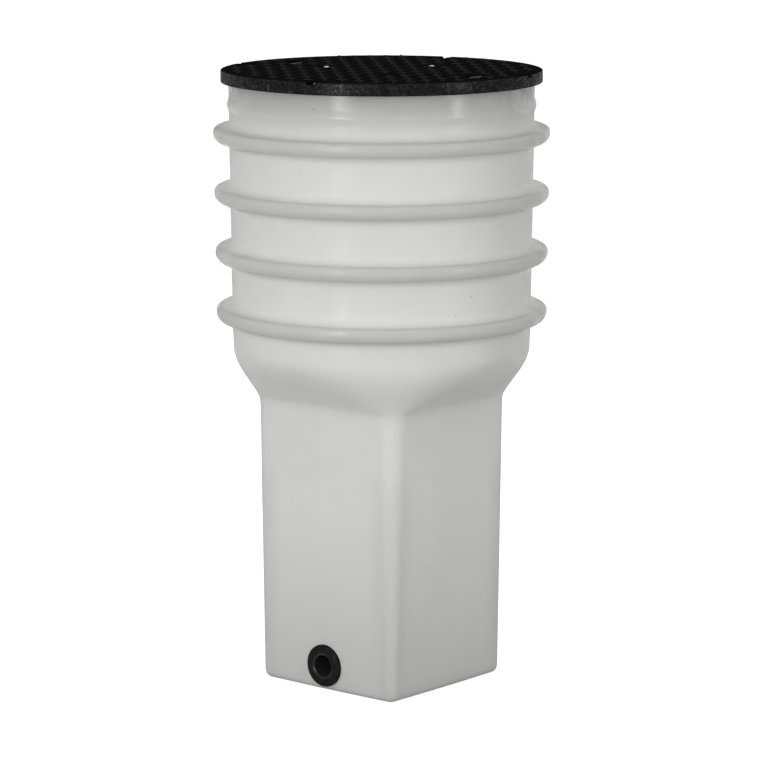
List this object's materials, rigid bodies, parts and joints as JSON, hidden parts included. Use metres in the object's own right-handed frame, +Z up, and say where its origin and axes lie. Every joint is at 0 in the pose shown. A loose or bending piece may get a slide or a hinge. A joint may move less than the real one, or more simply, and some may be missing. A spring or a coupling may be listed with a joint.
{
  "type": "water meter chamber",
  "caption": "Buried water meter chamber: ringed round plastic barrel on a square foot, bolted tread lid, rubber pipe grommets and a hung meter set with valves.",
  "frame": {"origin": "middle of the foot's underside", "axes": "+Z up along the barrel, -Y out of the inlet face, +Y out of the outlet face"},
  "size_m": [0.6286, 0.6286, 1.1615],
  "materials": {
    "white_polyethylene": "satin, milky white rotational moulding",
    "black_plastic": "fine grained, matt",
    "black_rubber": "matt",
    "stainless_steel": "satin",
    "zinc_steel": "zinc plated sheet",
    "brass": "cast and turned",
    "nickelled_brass": "nickel plated",
    "foam": "closed cell foam",
    "white_seat": "smooth",
    "blue_paint": "powder coated",
    "black_coupling": "smooth",
    "blue_coupling": "smooth",
    "register_plastic": "glossy",
    "dial": "plain white",
    "glass": "clear"
  },
  "bodies": {
    "chamber": {"chamber_body": "white_polyethylene", "lid": "black_plastic", "lid_seal": "black_rubber", "lid_bolts": "stainless_steel", "lid_bolt_washers": "stainless_steel", "rim_inserts": "brass", "lift_bars": "stainless_steel", "insulation_disc": "foam", "disc_screws": "stainless_steel", "disc_washers": "stainless_steel", "disc_nuts": "stainless_steel", "meter_bracket": "zinc_steel", "inlet_grommet": "black_rubber", "inlet_elbow": "brass", "inlet_locknut": "brass", "inlet_coupling": "black_coupling", "inlet_coupling_nut": "blue_coupling", "inlet_valve_body": "nickelled_brass", "inlet_valve_tail": "nickelled_brass", "inlet_valve_seats": "white_seat", "inlet_union_nut": "brass", "inlet_union_gasket": "black_rubber", "outlet_grommet": "black_rubber", "outlet_elbow": "brass", "outlet_locknut": "brass", "outlet_coupling": "black_coupling", "outlet_coupling_nut": "blue_coupling", "outlet_valve_body": "nickelled_brass", "outlet_valve_tail": "nickelled_brass", "outlet_valve_seats": "white_seat", "outlet_union_nut": "brass", "outlet_union_gasket": "black_rubber", "meter_body": "brass", "meter_register": "register_plastic", "meter_works": "black_coupling", "meter_dial": "dial", "meter_glass": "glass", "meter_flap_pin": "stainless_steel"},
    "inlet_handle": {"inlet_valve_handle": "blue_paint", "inlet_handle_nut": "stainless_steel", "inlet_valve_stem": "nickelled_brass", "inlet_valve_ball": "nickelled_brass"},
    "outlet_handle": {"outlet_valve_handle": "blue_paint", "outlet_handle_nut": "stainless_steel", "outlet_valve_stem": "nickelled_brass", "outlet_valve_ball": "nickelled_brass"},
    "meter_flap": {"meter_flap": "register_plastic"}
  },
  "joints": [
    {"name": "inlet_valve_turn", "type": "hinge", "parent": "chamber", "child": "inlet_handle", "pos_m": [0.09829, -0.09829, 0.73265], "axis": [0, 0, 1], "range_deg": [0, 90]},
    {"name": "outlet_valve_turn", "type": "hinge", "parent": "chamber", "child": "outlet_handle", "pos_m": [-0.09829, 0.09829, 0.73265], "axis": [0, 0, 1], "range_deg": [0, 90]},
    {"name": "meter_flap_hinge", "type": "hinge", "parent": "chamber", "child": "meter_flap", "pos_m": [0.03041, 0.03041, 0.78655], "axis": [-0.7071, 0.7071, 0], "range_deg": [0, 100]}
  ]
}
